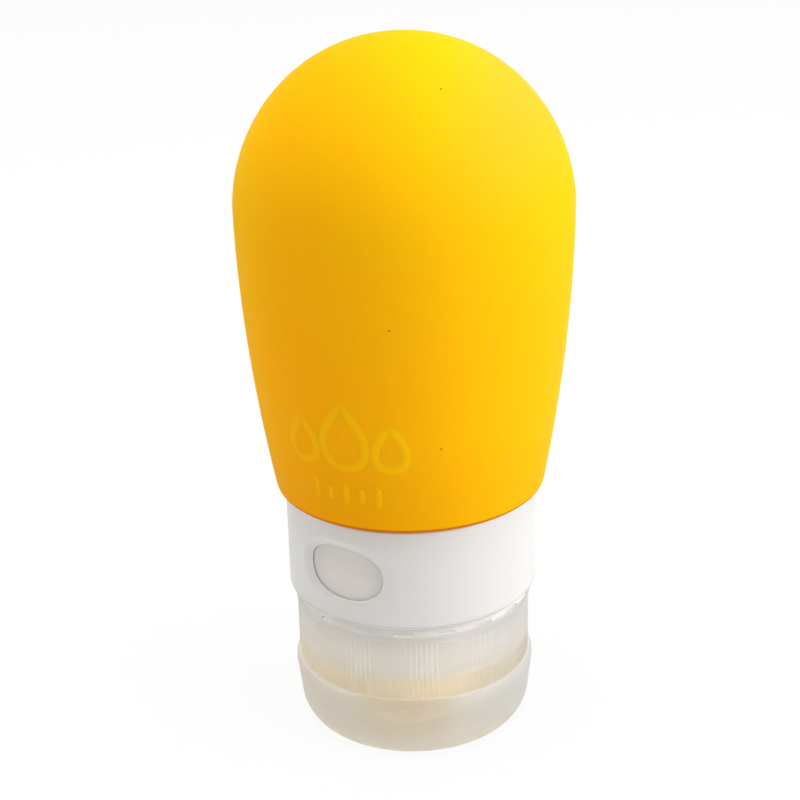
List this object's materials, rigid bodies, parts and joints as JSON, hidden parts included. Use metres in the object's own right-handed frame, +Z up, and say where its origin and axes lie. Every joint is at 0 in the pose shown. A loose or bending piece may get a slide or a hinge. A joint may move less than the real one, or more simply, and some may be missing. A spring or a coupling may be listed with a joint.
{
  "type": "squeeze bottle",
  "caption": "Inverted travel squeeze bottle: a silicone bulb on a white collar with an oval window and turning dial, standing on a ribbed flip-top screw cap.",
  "frame": {"origin": "centre of the lid's flat outer face, on which the bottle stands upside down", "axes": "+Z up along the bottle's axis from the lid to the bulb's top, -Y towards the lid's thumb scoop, +Y towards the lid's hinge"},
  "size_m": [0.045, 0.045, 0.0974],
  "materials": {
    "silicone_yellow": "matt, slightly translucent silicone",
    "silicone_clear": "clear milky silicone",
    "silicone_cream": "cream silicone",
    "plastic_white": "satin white polypropylene",
    "plastic_natural": "frosted translucent natural polypropylene"
  },
  "bodies": {
    "root": {"silicone_body": "silicone_yellow", "neck_insert": "plastic_natural", "collar": "plastic_white"},
    "dial": {"id_dial": "plastic_natural"},
    "seal": {"cap_gasket": "silicone_cream"},
    "cap": {"cap_base": "plastic_natural", "valve_membrane": "silicone_clear", "valve_retainer": "plastic_white", "hinge_strap_left": "plastic_natural", "hinge_strap_right": "plastic_natural"},
    "lid": {"flip_lid": "plastic_natural"}
  },
  "joints": [
    {"name": "dial_turn", "type": "hinge", "parent": "root", "child": "dial", "pos_m": [0, 0, 0.02], "axis": [0, 0, 1], "continuous": true},
    {"name": "cap_lift", "type": "slide", "parent": "root", "child": "seal", "axis": [0, 0, -1], "range_m": [0, 0.006]},
    {"name": "cap_unscrew", "type": "hinge", "parent": "seal", "child": "cap", "pos_m": [0, 0, 0.01], "axis": [0, 0, -1], "range_deg": [0, 720]},
    {"name": "lid_open", "type": "hinge", "parent": "cap", "child": "lid", "pos_m": [0, 0.01713, 0.00959], "axis": [1, 0, 0], "range_deg": [0, 140], "deforming": ["hinge_strap_left", "hinge_strap_right"]}
  ],
  "couplings": [
    {"joint": "cap_lift", "follows": "cap_unscrew", "m_per_rad": 0.00047746}
  ]
}
